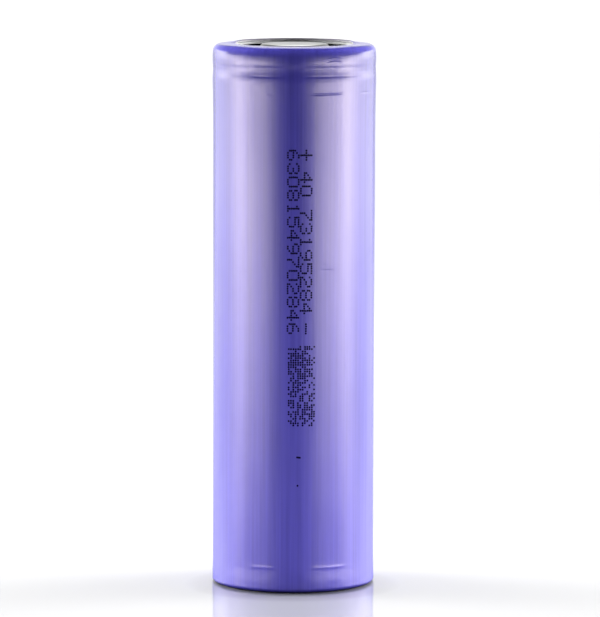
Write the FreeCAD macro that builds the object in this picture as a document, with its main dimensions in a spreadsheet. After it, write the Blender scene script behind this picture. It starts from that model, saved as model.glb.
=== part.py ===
"""Cylindrical lithium-ion battery cell, 21 mm by 70 mm class, built as an assembly.

A nickel-plated steel can holds a wound electrode roll between two insulating discs.
A bead rolled into the can and its crimped lip clamp a gasket, and the gasket holds the
cap assembly: positive cap, safety vent disc, interrupt insulator and interrupt plate.
A film sleeve is shrunk over the can and over a washer on the crimp.

The origin is the centre of the base, +Z runs up the cell's axis to the positive cap.
"""

import FreeCAD
import Part
import Sketcher

import math
import os

MM = {
    # whole cell
    "cell_height": 70.6,
    # shrink sleeve
    "film": 0.1,
    "sleeve_radius": 10.55,
    "sleeve_top_opening": 7.6,
    "sleeve_base_opening": 8.7,
    "shoulder_round": 0.95,
    "crimp_swell": 0.1,
    "bead_dip": 0.03,
    "bead_swell": 0.09,
    "base_swell": 0.06,
    "base_round": 0.7,
    "base_flare": 3.5,
    "swell_fade": 6.5,
    "swell_margin": 0.3,
    "crimp_swell_rise": 1,
    "shoulder_lean": 0.05,
    # washer under the sleeve
    "washer_thickness": 0.25,
    "washer_inner": 7.4,
    "washer_outer": 9.55,
    # can
    "can_radius": 10.45,
    "can_wall": 0.25,
    "can_base": 0.35,
    "can_corner": 0.7,
    "can_corner_fill": 0.1,
    "terminal_radius": 8.3,
    "terminal_recess": 0.05,
    "terminal_ramp": 0.1,
    "bead_centre": 67.3,
    "bead_radius": 0.55,
    "bead_depth": 1.2,
    "bead_edge": 0.35,
    "crimp_round": 0.85,
    "lip_inner": 7.75,
    # gasket
    "gasket_base": 0.45,
    "gasket_wall": 0.6,
    "gasket_inner": 8.1,
    "gasket_lip_inner": 7.5,
    "gasket_round": 0.2,
    "gasket_taper_rise": 0.1,
    "gasket_taper_reach": 0.6,
    # cap assembly
    "vent_sheet": 0.3,
    "cap_sheet": 0.35,
    "boss_radius": 3.95,
    "boss_round": 0.6,
    "boss_foot_round": 0.4,
    "boss_slope": 55,
    "window_inner": 4.75,
    "window_outer": 6.6,
    "window_half_angle": 25,
    "window_count": 4,
    "hem_inner": 8.5,
    "vent_rim_inner": 7.0,
    "vent_floor_radius": 6.6,
    "vent_drop": 0.3,
    "vent_bend_inset": 0.1,
    "vent_nipple_radius": 1.2,
    "vent_nipple_foot": 1.9,
    "vent_nipple_drop": 0.3,
    "score_radius": 4.75,
    "score_half_width": 0.2,
    "score_depth": 0.2,
    "interrupt_plate_radius": 7.05,
    "interrupt_plate_sheet": 0.4,
    "interrupt_thin_radius": 1.5,
    "interrupt_thin_sheet": 0.15,
    "interrupt_hole_radius": 0.7,
    "interrupt_hole_circle": 4.4,
    "interrupt_hole_count": 6,
    "interrupt_ring_outer": 7.5,
    "interrupt_ring_inner": 5.4,
    "interrupt_ring_hook": 6.6,
    "interrupt_hook_drop": 0.25,
    "interrupt_ring_sheet": 0.3,
    # insulating discs
    "disc_radius": 9.95,
    "upper_disc_base": 65.25,
    "upper_disc_sheet": 0.35,
    "lower_disc_gap": 0.13,
    "lower_disc_sheet": 0.2,
    "disc_hole": 1.6,
    "disc_vent_hole": 0.9,
    "disc_vent_circle": 4.0,
    "disc_vent_count": 3,
    "lead_slot_margin": 0.5,
    "notch_depth": 0.9,
    "notch_clearance": 1,
    # wound roll
    "core_radius": 1.7,
    "separator": 0.03,
    "foil": 0.03,
    "coating": 0.095,
    "roll_base": 0.95,
    "separator_height": 64.0,
    "negative_inset": 0.45,
    "positive_inset": 0.95,
    "half_turns": 32,
    "separator_short": 20,
    "negative_start": 60,
    "positive_start": 400,
    # leads and tapes
    "lead_turn": 16,
    "lead_overlap": 0.2,
    "positive_lead_sheet": 0.06,
    "positive_lead_width": 4,
    "positive_lead_root": 10,
    "positive_lead_bend": 0.45,
    "positive_lead_rise": 1.1,
    "positive_lead_reach": 0.6,
    "positive_lead_fold": 3.6,
    "positive_lead_end": 3.4,
    "bare_strip_width": 6,
    "bare_patch_base": 8,
    "lead_tape_root": 48,
    "lead_tape_width": 5.4,
    "lead_tape_clearance": 0.05,
    "negative_lead_sheet": 0.08,
    "negative_lead_width": 3,
    "negative_lead_top": 26,
    "negative_lead_bend": 0.52,
    "negative_lead_end": 3,
    "negative_lead_reach": 0.4,
    "tape": 0.05,
    "negative_tape_base": 6,
    "negative_tape_top": 32,
    "negative_tape_width": 8,
    "end_tape_inset": 2,
    "end_tape_angle": 60,
}

doc = FreeCAD.newDocument("BatteryCell")
sheet = doc.addObject("Spreadsheet::Sheet", "Sheet")
for row, (alias, number) in enumerate(MM.items(), start=1):
    sheet.set(f"A{row}", alias.replace("_", " "))
    sheet.set(f"B{row}", str(number))
    sheet.setAlias(f"B{row}", alias)
doc.recompute()


class Size:
    """A dimension: its value now, and the expression that binds it to the sheet."""

    def __init__(self, value, text):
        self.value = value
        self.text = text

    def __add__(self, other):
        other = size_of(other)
        return Size(self.value + other.value, f"({self.text} + {other.text})")

    def __sub__(self, other):
        other = size_of(other)
        return Size(self.value - other.value, f"({self.text} - {other.text})")

    def __mul__(self, other):
        other = size_of(other)
        return Size(self.value * other.value, f"{self.text} * {other.text}")

    def __truediv__(self, other):
        other = size_of(other)
        return Size(self.value / other.value, f"{self.text} / {other.text}")

    def __neg__(self):
        return Size(-self.value, f"(0 - {self.text})")


def size_of(number):
    """A Size from a Size or a plain number."""
    return number if isinstance(number, Size) else Size(number, str(number))


def cell(alias):
    """The sheet's cell of that alias, as a Size."""
    return Size(float(sheet.get(alias)), f"Sheet.{alias}")


def sine(angle):
    return Size(math.sin(math.radians(angle.value)), f"sin({angle.text})")


def cosine(angle):
    return Size(math.cos(math.radians(angle.value)), f"cos({angle.text})")


def sector_angle(width, radius):
    """The angle a strip of that width takes up when it is bent round that radius."""
    ratio = width / 2 / radius
    degrees = math.degrees(math.asin(ratio.value)) * 2
    return Size(degrees, f"asin({width.text} / 2 / {radius.text}) * 2")


# ---------------------------------------------------------------- derived levels

height = cell("cell_height")
film = cell("film")
wall = cell("can_wall")
can_radius = cell("can_radius")
can_inside = can_radius - wall

washer_top = height - film
lip_top = washer_top - cell("washer_thickness")
lip_base = lip_top - wall

can_base = film
can_floor = can_base + cell("can_base")

bead_high = cell("bead_centre") + cell("bead_radius")
bead_low = cell("bead_centre") - cell("bead_radius")
bead_ledge = bead_high + wall

vent_sheet = cell("vent_sheet")
cap_sheet = cell("cap_sheet")
stack_radius = can_inside - cell("gasket_wall")
vent_rim_base = bead_ledge + cell("gasket_base")
flange_base = vent_rim_base + vent_sheet
flange_top = flange_base + cap_sheet
hem_top = flange_top + vent_sheet

vent_floor = vent_rim_base - cell("vent_drop")
nipple_base = vent_floor - cell("vent_nipple_drop")
plate_base = nipple_base - cell("interrupt_plate_sheet")

pitch = (cell("separator") + cell("foil")) * 2 + cell("coating") * 4
arc_shift = pitch / 4


# ---------------------------------------------------------------- sketch helpers


class Arc:
    """An outline's step to (x, y) along an arc. turn is 1 anticlockwise, -1 clockwise."""

    def __init__(self, x, y, radius, turn):
        self.x = size_of(x)
        self.y = size_of(y)
        self.radius = size_of(radius)
        self.turn = turn


def corners(outline):
    """The outline's corner points, as pairs of Size."""
    pairs = []
    for step in outline:
        if isinstance(step, Arc):
            pairs.append((step.x, step.y))
        else:
            pairs.append((size_of(step[0]), size_of(step[1])))
    return pairs


def arc_edge(start, end, radius, turn):
    """An arc of at most half a turn. Sketches want it anticlockwise, whatever its turn."""
    chord = end - start
    middle = (start + end) * 0.5
    rise = math.sqrt(max(radius**2 - (chord.Length / 2) ** 2, 0.0))
    side = FreeCAD.Vector(-chord.y, chord.x, 0).normalize() * turn
    centre = middle + side * rise
    low, high = (start, end) if turn > 0 else (end, start)
    from_angle = math.atan2(low.y - centre.y, low.x - centre.x)
    to_angle = math.atan2(high.y - centre.y, high.x - centre.x)
    if to_angle < from_angle:
        to_angle += 2 * math.pi
    circle = Part.Circle(centre, FreeCAD.Vector(0, 0, 1), radius)
    return Part.ArcOfCircle(circle, from_angle, to_angle)


def pin_point(sketch, geometry, end, x, y):
    """Fixes one end of an edge at (x, y), bound to the sheet."""
    for kind, axis, size in (("DistanceX", -2, x), ("DistanceY", -1, y)):
        if abs(size.value) < 1e-9:
            sketch.addConstraint(
                Sketcher.Constraint("PointOnObject", geometry, end, axis)
            )
            continue
        index = sketch.addConstraint(
            Sketcher.Constraint(kind, -1, 1, geometry, end, size.value)
        )
        sketch.setExpression(f"Constraints[{index}]", size.text)


def draw_outline(sketch, outline):
    """Adds a closed outline, each corner and each radius bound to the sheet."""
    points = corners(outline)
    count = len(points)
    vectors = [FreeCAD.Vector(x.value, y.value, 0) for x, y in points]
    first = sketch.GeometryCount
    ends = []
    for k in range(count):
        step = outline[(k + 1) % count]
        start, end = vectors[k], vectors[(k + 1) % count]
        if isinstance(step, Arc):
            sketch.addGeometry(arc_edge(start, end, step.radius.value, step.turn))
            ends.append((1, 2) if step.turn > 0 else (2, 1))
        else:
            sketch.addGeometry(Part.LineSegment(start, end))
            ends.append((1, 2))
    for k in range(count):
        following = (k + 1) % count
        sketch.addConstraint(
            Sketcher.Constraint(
                "Coincident",
                first + k,
                ends[k][1],
                first + following,
                ends[following][0],
            )
        )
        pin_point(sketch, first + k, ends[k][0], *points[k])
    for k in range(count):
        step = outline[(k + 1) % count]
        if isinstance(step, Arc):
            index = sketch.addConstraint(
                Sketcher.Constraint("Radius", first + k, step.radius.value)
            )
            sketch.setExpression(f"Constraints[{index}]", step.radius.text)


def draw_circle(sketch, x, y, radius):
    """Adds a full circle, its centre and radius bound to the sheet."""
    centre = FreeCAD.Vector(x.value, y.value, 0)
    index = sketch.addGeometry(
        Part.Circle(centre, FreeCAD.Vector(0, 0, 1), radius.value)
    )
    pin_point(sketch, index, 3, x, y)
    bound = sketch.addConstraint(Sketcher.Constraint("Radius", index, radius.value))
    sketch.setExpression(f"Constraints[{bound}]", radius.text)


# --------------------------------------------------------------- feature helpers

SUB_PARTS = []


def new_body(name):
    body = doc.addObject("PartDesign::Body", name)
    body.Label = name
    SUB_PARTS.append(body)
    return body


def new_sketch(body, plane, offset=None):
    """An empty sketch on one of the body's origin planes, moved along its normal."""
    sketch = body.newObject("Sketcher::SketchObject", f"{body.Name}_sketch")
    planes = [f for f in body.Origin.OriginFeatures if f.Role == plane]
    sketch.AttachmentSupport = [(planes[0], "")]
    sketch.MapMode = "FlatFace"
    if offset is not None:
        sketch.AttachmentOffset = FreeCAD.Placement(
            FreeCAD.Vector(0, 0, offset.value), FreeCAD.Rotation()
        )
        sketch.setExpression("AttachmentOffset.Base.z", offset.text)
    return sketch


def revolve(body, outline, plane="XZ_Plane", offset=None, angle=None):
    """Revolves an outline of (radius, height) corners about the sketch's upright axis."""
    sketch = new_sketch(body, plane, offset)
    draw_outline(sketch, outline)
    feature = body.newObject("PartDesign::Revolution", f"{body.Name}_revolution")
    feature.Profile = sketch
    feature.ReferenceAxis = (sketch, ["V_Axis"])
    if angle is None:
        feature.Angle = 360
    else:
        feature.Angle = angle.value
        feature.setExpression("Angle", angle.text)
        feature.Midplane = True
    doc.recompute()
    return feature


def pad_across(body, outline, width, plane, offset=None):
    """Pads an outline by width, half to each side of its plane."""
    sketch = new_sketch(body, plane, offset)
    draw_outline(sketch, outline)
    feature = body.newObject("PartDesign::Pad", f"{body.Name}_pad")
    feature.Profile = sketch
    feature.Length = width.value
    feature.setExpression("Length", width.text)
    feature.Midplane = True
    doc.recompute()
    return feature


def cut_through(body, draw, name):
    """Pockets right through the body, along Z, whatever draw puts in the sketch."""
    before = body.Shape.Volume
    sketch = new_sketch(body, "XY_Plane")
    draw(sketch)
    pocket = body.newObject("PartDesign::Pocket", f"{body.Name}_{name}")
    pocket.Profile = sketch
    pocket.Type = "ThroughAll"
    pocket.Midplane = True
    doc.recompute()
    if body.Shape.Volume > before - 1e-3:
        raise RuntimeError(f"{body.Label}: {name} cuts nothing")
    return pocket, sketch


def repeat_round(body, pocket, sketch, count):
    """Repeats a pocket evenly round the cell's axis."""
    pattern = body.newObject("PartDesign::PolarPattern", f"{pocket.Name}_pattern")
    pattern.Originals = [pocket]
    pattern.Axis = (sketch, ["N_Axis"])
    pattern.Angle = 360
    pattern.Occurrences = int(count.value)
    pattern.setExpression("Occurrences", count.text)
    body.Tip = pattern
    doc.recompute()
    return pattern


def part_feature(name, shape):
    """A sub-part whose shape comes from Part's own functions."""
    feature = doc.addObject("Part::Feature", name)
    feature.Label = name
    feature.Shape = shape
    feature.Placement = FreeCAD.Placement()
    SUB_PARTS.append(feature)
    return feature


# ------------------------------------------------------------------ outer pieces


def shrink_sleeve():
    """The film tube, turned in over the crimp at the top and under the base."""
    radius = cell("sleeve_radius")
    shoulder = cell("shoulder_round")
    base_round = cell("base_round")
    crimp_radius = radius + cell("crimp_swell")
    bead_radius = radius + cell("bead_swell")
    dip_radius = radius + cell("bead_dip")
    base_radius = radius + cell("base_swell")
    shoulder_z = height - shoulder
    crimp_z = bead_high + cell("crimp_swell_rise")
    fade_z = bead_low - cell("swell_fade")
    flare_z = cell("base_flare")
    swell_z = bead_low - cell("swell_margin")
    shoulder_radius = crimp_radius - cell("shoulder_lean")
    outline = [
        (cell("sleeve_base_opening"), 0),
        (base_radius - base_round, 0),
        Arc(base_radius, base_round, base_round, 1),
        (radius, flare_z),
        (radius, fade_z),
        (bead_radius, swell_z),
        (dip_radius, cell("bead_centre")),
        (crimp_radius, crimp_z),
        (shoulder_radius, shoulder_z),
        Arc(shoulder_radius - shoulder, height, shoulder, 1),
        (cell("sleeve_top_opening"), height),
        (cell("sleeve_top_opening"), height - film),
        (shoulder_radius - shoulder, height - film),
        Arc(shoulder_radius - film, shoulder_z, shoulder - film, -1),
        (crimp_radius - film, crimp_z),
        (dip_radius - film, cell("bead_centre")),
        (bead_radius - film, swell_z),
        (radius - film, fade_z),
        (radius - film, flare_z),
        (base_radius - film, base_round),
        Arc(base_radius - base_round, film, base_round - film, -1),
        (cell("sleeve_base_opening"), film),
    ]
    revolve(new_body("heat_shrink_sleeve"), outline)


def insulating_washer():
    """The flat ring between the crimped lip and the sleeve."""
    outline = [
        (cell("washer_inner"), lip_top),
        (cell("washer_outer"), lip_top),
        (cell("washer_outer"), washer_top),
        (cell("washer_inner"), washer_top),
    ]
    revolve(new_body("top_insulating_washer"), outline)


def can():
    """The drawn steel can: base with a shallow recess, rolled bead and crimped lip."""
    corner = cell("can_corner")
    inner_corner = corner - wall + cell("can_corner_fill")
    edge = cell("bead_edge")
    bead = cell("bead_radius")
    crimp = cell("crimp_round")
    bead_bottom = can_radius - cell("bead_depth")
    recess = cell("terminal_recess")
    terminal = cell("terminal_radius")
    mid = cell("bead_centre")
    outline = [
        (0, can_base + recess),
        (terminal, can_base + recess),
        (terminal + cell("terminal_ramp"), can_base),
        (can_radius - corner, can_base),
        Arc(can_radius, can_base + corner, corner, 1),
        (can_radius, bead_low - edge),
        Arc(can_radius - edge, bead_low, edge, 1),
        (bead_bottom + bead, bead_low),
        Arc(bead_bottom, mid, bead, -1),
        Arc(bead_bottom + bead, bead_high, bead, -1),
        (can_radius - edge, bead_high),
        Arc(can_radius, bead_high + edge, edge, 1),
        (can_radius, lip_top - crimp),
        Arc(can_radius - crimp, lip_top, crimp, 1),
        (cell("lip_inner"), lip_top),
        (cell("lip_inner"), lip_base),
        (can_radius - crimp, lip_base),
        Arc(can_inside, lip_top - crimp, crimp - wall, -1),
        (can_inside, bead_high + edge),
        Arc(can_radius - edge, bead_ledge, edge - wall, -1),
        (bead_bottom + bead, bead_ledge),
        Arc(bead_bottom - wall, mid, bead + wall, 1),
        Arc(bead_bottom + bead, bead_low - wall, bead + wall, 1),
        (can_radius - edge, bead_low - wall),
        Arc(can_inside, bead_low - edge, edge - wall, -1),
        (can_inside, can_floor + inner_corner),
        Arc(can_inside - inner_corner, can_floor, inner_corner, -1),
        (0, can_floor),
    ]
    revolve(new_body("steel_can"), outline)


def gasket():
    """The moulded seal: a ledge under the cap assembly, a wall and a lip over it."""
    crimp = cell("crimp_round")
    rounding = cell("gasket_round")
    taper_radius = can_radius - cell("bead_edge") - cell("gasket_taper_reach")
    outline = [
        (cell("gasket_inner"), vent_rim_base),
        (cell("gasket_inner"), bead_ledge + cell("gasket_taper_rise")),
        (taper_radius, bead_ledge),
        (can_inside - rounding, bead_ledge),
        Arc(can_inside, bead_ledge + rounding, rounding, 1),
        (can_inside, lip_top - crimp),
        Arc(can_radius - crimp, lip_base, crimp - wall, 1),
        (cell("gasket_lip_inner"), lip_base),
        (cell("gasket_lip_inner"), hem_top),
        (stack_radius, hem_top),
        (stack_radius, vent_rim_base),
    ]
    revolve(new_body("sealing_gasket"), outline)


# ------------------------------------------------------------------ cap assembly


def draw_window(sketch):
    """A vent window in the cap: a ring sector centred on the sketch's X axis."""
    inner = cell("window_inner")
    outer = cell("window_outer")
    half = cell("window_half_angle")
    draw_outline(
        sketch,
        [
            Arc(inner * cosine(half), -(inner * sine(half)), inner, -1),
            (outer * cosine(half), -(outer * sine(half))),
            Arc(outer * cosine(half), outer * sine(half), outer, 1),
            (inner * cosine(half), inner * sine(half)),
        ],
    )


def positive_cap():
    """The pressed cap: a flange, a raised terminal boss and vent windows round it."""
    slope = cell("boss_slope")
    top = cell("boss_radius")
    crest = cell("boss_round")
    foot = cell("boss_foot_round")
    crest_x = top + crest * sine(slope)
    crest_z = height - crest * (size_of(1) - cosine(slope))
    foot_z = flange_top + foot * (size_of(1) - cosine(slope))
    foot_x = crest_x + (crest_z - foot_z) * cosine(slope) / sine(slope)
    inner_crest = crest - cap_sheet
    inner_foot = foot + cap_sheet
    heel_x = foot_x + foot * sine(slope)
    outline = [
        (0, height),
        (0, height - cap_sheet),
        (top, height - cap_sheet),
        Arc(
            top + inner_crest * sine(slope),
            height - cap_sheet - inner_crest * (size_of(1) - cosine(slope)),
            inner_crest,
            -1,
        ),
        (
            heel_x - inner_foot * sine(slope),
            flange_base + inner_foot * (size_of(1) - cosine(slope)),
        ),
        Arc(heel_x, flange_base, inner_foot, 1),
        (stack_radius - vent_sheet, flange_base),
        (stack_radius - vent_sheet, flange_top),
        (heel_x, flange_top),
        Arc(foot_x, foot_z, foot, -1),
        (crest_x, crest_z),
        Arc(top, height, crest, 1),
    ]
    body = new_body("positive_cap")
    revolve(body, outline)
    pocket, sketch = cut_through(body, draw_window, "window")
    repeat_round(body, pocket, sketch, cell("window_count"))


def vent_disc():
    """The dished safety vent: its rim is hemmed over the cap's flange, its floor scored."""
    floor_r = cell("vent_floor_radius")
    nipple = cell("vent_nipple_radius")
    nipple_foot = cell("vent_nipple_foot")
    score = cell("score_radius")
    half_width = cell("score_half_width")
    inset = cell("vent_bend_inset")
    floor_top = vent_floor + vent_sheet
    outline = [
        (0, nipple_base),
        (nipple, nipple_base),
        (nipple_foot, vent_floor),
        (floor_r, vent_floor),
        (cell("vent_rim_inner"), vent_rim_base),
        (stack_radius, vent_rim_base),
        (stack_radius, hem_top),
        (cell("hem_inner"), hem_top),
        (cell("hem_inner"), flange_top),
        (stack_radius - vent_sheet, flange_top),
        (stack_radius - vent_sheet, flange_base),
        (cell("vent_rim_inner") - inset, flange_base),
        (floor_r - inset, floor_top),
        (score + half_width, floor_top),
        (score, floor_top - cell("score_depth")),
        (score - half_width, floor_top),
        (nipple_foot - inset, floor_top),
        (nipple - inset, nipple_base + vent_sheet),
        (0, nipple_base + vent_sheet),
    ]
    revolve(new_body("safety_vent_disc"), outline)


def interrupt_ring():
    """The moulded ring that clips the interrupt plate under the vent, insulated from it."""
    outer = cell("interrupt_ring_outer")
    thick = cell("interrupt_ring_sheet")
    plate = cell("interrupt_plate_radius")
    hook_base = plate_base - cell("interrupt_hook_drop")
    outline = [
        (cell("interrupt_ring_inner"), nipple_base),
        (plate, nipple_base),
        (plate, plate_base),
        (cell("interrupt_ring_hook"), plate_base),
        (cell("interrupt_ring_hook"), hook_base),
        (outer, hook_base),
        (outer, nipple_base + thick),
        (cell("interrupt_ring_inner"), nipple_base + thick),
    ]
    revolve(new_body("interrupt_insulator_ring"), outline)


def interrupt_plate():
    """The perforated plate welded to the vent's nipple, thinned at its centre."""
    thin = cell("interrupt_thin_radius")
    outline = [
        (0, nipple_base),
        (0, nipple_base - cell("interrupt_thin_sheet")),
        (thin, nipple_base - cell("interrupt_thin_sheet")),
        (thin, plate_base),
        (cell("interrupt_plate_radius"), plate_base),
        (cell("interrupt_plate_radius"), nipple_base),
    ]
    body = new_body("interrupt_plate")
    revolve(body, outline)
    pocket, sketch = cut_through(
        body,
        lambda s: draw_circle(
            s,
            cell("interrupt_hole_circle"),
            size_of(0),
            cell("interrupt_hole_radius"),
        ),
        "gas_hole",
    )
    repeat_round(body, pocket, sketch, cell("interrupt_hole_count"))


# ------------------------------------------------------- insulating discs and leads


def layer_radius(half_turn, depth):
    """A wound face's radius: depth is how far out it lies in the stack of layers."""
    return cell("core_radius") + pitch / 2 * half_turn + depth


POSITIVE_FOIL_FACE = cell("separator") + cell("coating") + cell("foil")
NEGATIVE_FOIL_FACE = POSITIVE_FOIL_FACE * 2 + cell("coating")


def round_disc(name, base, thickness):
    """A flat disc with a middle hole and a ring of gas holes."""
    outline = [
        (cell("disc_hole"), base),
        (cell("disc_radius"), base),
        (cell("disc_radius"), base + thickness),
        (cell("disc_hole"), base + thickness),
    ]
    body = new_body(name)
    revolve(body, outline)
    pocket, sketch = cut_through(
        body,
        lambda s: draw_circle(
            s, -cell("disc_vent_circle"), size_of(0), cell("disc_vent_hole")
        ),
        "gas_hole",
    )
    repeat_round(body, pocket, sketch, cell("disc_vent_count"))
    return body


def cut_rectangle(body, low_x, high_x, low_y, high_y, name):
    """A rectangular hole right through the body."""
    corners_of_hole = [
        (low_x, low_y),
        (high_x, low_y),
        (high_x, high_y),
        (low_x, high_y),
    ]
    cut_through(body, lambda s: draw_outline(s, corners_of_hole), name)


def upper_disc():
    """The disc over the roll, slotted for the positive lead."""
    body = round_disc(
        "upper_insulator_disc", cell("upper_disc_base"), cell("upper_disc_sheet")
    )
    margin = cell("lead_slot_margin")
    half = cell("positive_lead_width") / 2 + margin
    face = layer_radius(cell("lead_turn"), POSITIVE_FOIL_FACE)
    cut_rectangle(
        body,
        -(arc_shift + half),
        half - arc_shift,
        face - cell("positive_lead_bend") - margin,
        face + margin,
        "lead_slot",
    )


def lower_disc():
    """The disc under the roll, notched at its edge for the negative lead."""
    base = can_floor + cell("lower_disc_gap")
    body = round_disc("lower_insulator_disc", base, cell("lower_disc_sheet"))
    half = cell("negative_lead_width") / 2 + cell("lead_slot_margin")
    edge = cell("disc_radius")
    cut_rectangle(
        body,
        arc_shift - half,
        arc_shift + half,
        -(edge + cell("notch_clearance")),
        -(edge - cell("notch_depth")),
        "notch",
    )


def positive_lead():
    """The strip welded to the positive foil, folded over the roll to the cap."""
    body = new_body("positive_lead")
    sheet_z = cell("positive_lead_sheet")
    width = cell("positive_lead_width")
    bend = cell("positive_lead_bend")
    inner = layer_radius(cell("lead_turn"), POSITIVE_FOIL_FACE)
    outer = inner + sheet_z
    root = cell("positive_lead_root")
    run_z = plate_base - cell("positive_lead_rise")
    bend_z = run_z - bend
    reach = inner - bend - cell("positive_lead_reach")
    overlap = cell("lead_overlap")
    strip = [
        (inner, root),
        (outer, root),
        (outer, bend_z),
        Arc(inner - bend, run_z + sheet_z, bend + sheet_z, 1),
        (reach, run_z + sheet_z),
        (reach, run_z),
        (inner - bend, run_z),
        Arc(inner, bend_z, bend, -1),
    ]
    axis_x = -arc_shift
    revolve(body, strip, "YZ_Plane", axis_x, sector_angle(width, outer))
    fold = -cell("positive_lead_fold")
    end = cell("positive_lead_end")
    turn = (plate_base - run_z) / 2
    hollow = turn - sheet_z
    middle_z = run_z + turn
    folded = [
        (reach + overlap, run_z),
        (reach + overlap, run_z + sheet_z),
        (fold, run_z + sheet_z),
        Arc(fold - hollow, middle_z, hollow, -1),
        Arc(fold, plate_base - sheet_z, hollow, -1),
        (end, plate_base - sheet_z),
        (end, plate_base),
        (fold, plate_base),
        Arc(fold - turn, middle_z, turn, 1),
        Arc(fold, run_z, turn, 1),
    ]
    pad_across(body, folded, width, "YZ_Plane", axis_x)


def positive_lead_tape():
    """The tape over the positive lead, as thick as the coating stripped for it."""
    face = layer_radius(cell("lead_turn"), POSITIVE_FOIL_FACE)
    inner = face + cell("positive_lead_sheet")
    outer = face + cell("coating")
    root = cell("lead_tape_root")
    roll_top = cell("roll_base") + cell("separator_height")
    top = roll_top - cell("lead_tape_clearance")
    outline = [(inner, root), (outer, root), (outer, top), (inner, top)]
    angle = sector_angle(cell("lead_tape_width"), outer)
    body = new_body("positive_lead_tape")
    revolve(body, outline, "YZ_Plane", -arc_shift, angle)


def negative_lead():
    """The strip welded to the outer foil, folded flat under the roll onto the can."""
    body = new_body("negative_lead")
    sheet_z = cell("negative_lead_sheet")
    width = cell("negative_lead_width")
    bend = cell("negative_lead_bend")
    top = cell("negative_lead_top")
    inner = layer_radius(cell("half_turns") - 1, NEGATIVE_FOIL_FACE)
    outer = inner + sheet_z
    bend_z = can_floor + bend + sheet_z
    reach = inner - bend - cell("negative_lead_reach")
    overlap = cell("lead_overlap")
    strip = [
        (-inner, top),
        (-outer, top),
        (-outer, bend_z),
        Arc(bend - inner, can_floor, bend + sheet_z, 1),
        (-reach, can_floor),
        (-reach, can_floor + sheet_z),
        (bend - inner, can_floor + sheet_z),
        Arc(-inner, bend_z, bend, -1),
    ]
    revolve(body, strip, "YZ_Plane", arc_shift, sector_angle(width, outer))
    end = cell("negative_lead_end")
    flat = [
        (-reach - overlap, can_floor),
        (end, can_floor),
        (end, can_floor + sheet_z),
        (-reach - overlap, can_floor + sheet_z),
    ]
    pad_across(body, flat, width, "YZ_Plane", arc_shift)


def negative_lead_tape():
    """The wider tape that covers the negative lead's weld to the outer foil."""
    inner = layer_radius(cell("half_turns") - 1, NEGATIVE_FOIL_FACE)
    inner = inner + cell("negative_lead_sheet")
    outer = inner + cell("tape")
    base = cell("negative_tape_base")
    top = cell("negative_tape_top")
    outline = [(-inner, base), (-inner, top), (-outer, top), (-outer, base)]
    angle = sector_angle(cell("negative_tape_width"), outer)
    body = new_body("negative_lead_tape")
    revolve(body, outline, "YZ_Plane", arc_shift, angle)


# -------------------------------------------------------------------- wound roll


def round_point(radius, degrees, centre_x, z):
    angle = math.radians(degrees)
    return FreeCAD.Vector(
        centre_x + radius * math.cos(angle), radius * math.sin(angle), z
    )


def round_arc(radius, low, high, centre_x, z):
    """An anticlockwise arc between two angles in degrees."""
    angles = (low, (low + high) / 2, high)
    points = [round_point(radius, angle, centre_x, z) for angle in angles]
    return Part.Arc(*points).toShape()


def spiral_path(depth, first, last, z):
    """The spiral at one depth in the layers, as arcs between two winding angles.

    Half-turns alternate between two centres a quarter of the pitch to each side of the
    cell's axis, so the spiral is smooth and grows by half a pitch at each.
    """
    arcs = []
    for turn in range(int(first // 180), math.ceil(last / 180)):
        low = max(first, turn * 180)
        high = min(last, turn * 180 + 180)
        centre_x = arc_shift.value * (-1 if turn % 2 == 0 else 1)
        radius = layer_radius(size_of(turn), depth).value
        arcs.append(round_arc(radius, low, high, centre_x, z))
    return arcs


def upright_sheet(inner_path, outer_path, tall):
    """The solid that stands on the area between two runs of edges."""
    starts = [run[0].Vertexes[0].Point for run in (inner_path, outer_path)]
    finishes = [run[-1].Vertexes[-1].Point for run in (inner_path, outer_path)]
    ends = [Part.makeLine(*starts), Part.makeLine(*finishes)]
    edges = Part.__sortEdges__(inner_path + outer_path + ends)
    return Part.Face(Part.Wire(edges)).extrude(FreeCAD.Vector(0, 0, tall))


def wound_layer(depth, thickness, first, last, inset):
    """One strip of the roll, between two winding angles; inset is from its ends."""
    base = cell("roll_base") + inset
    tall = cell("separator_height") - inset * 2
    inner_path = spiral_path(depth, first, last, base.value)
    outer_path = spiral_path(depth + thickness, first, last, base.value)
    return upright_sheet(inner_path, outer_path, tall.value)


def bare_patch():
    """The block of coating stripped from the positive foil for its lead."""
    half_width = cell("bare_strip_width").value / 2
    turn = cell("lead_turn")
    spare = cell("separator").value / 2
    inner = layer_radius(turn, cell("separator")).value - spare
    outer = layer_radius(turn, POSITIVE_FOIL_FACE + cell("coating")).value + spare
    half = math.degrees(math.asin(half_width / inner))
    base = cell("bare_patch_base").value
    paths = [
        [round_arc(radius, 90 - half, 90 + half, -arc_shift.value, base)]
        for radius in (inner, outer)
    ]
    return upright_sheet(*paths, height.value - base)


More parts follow.
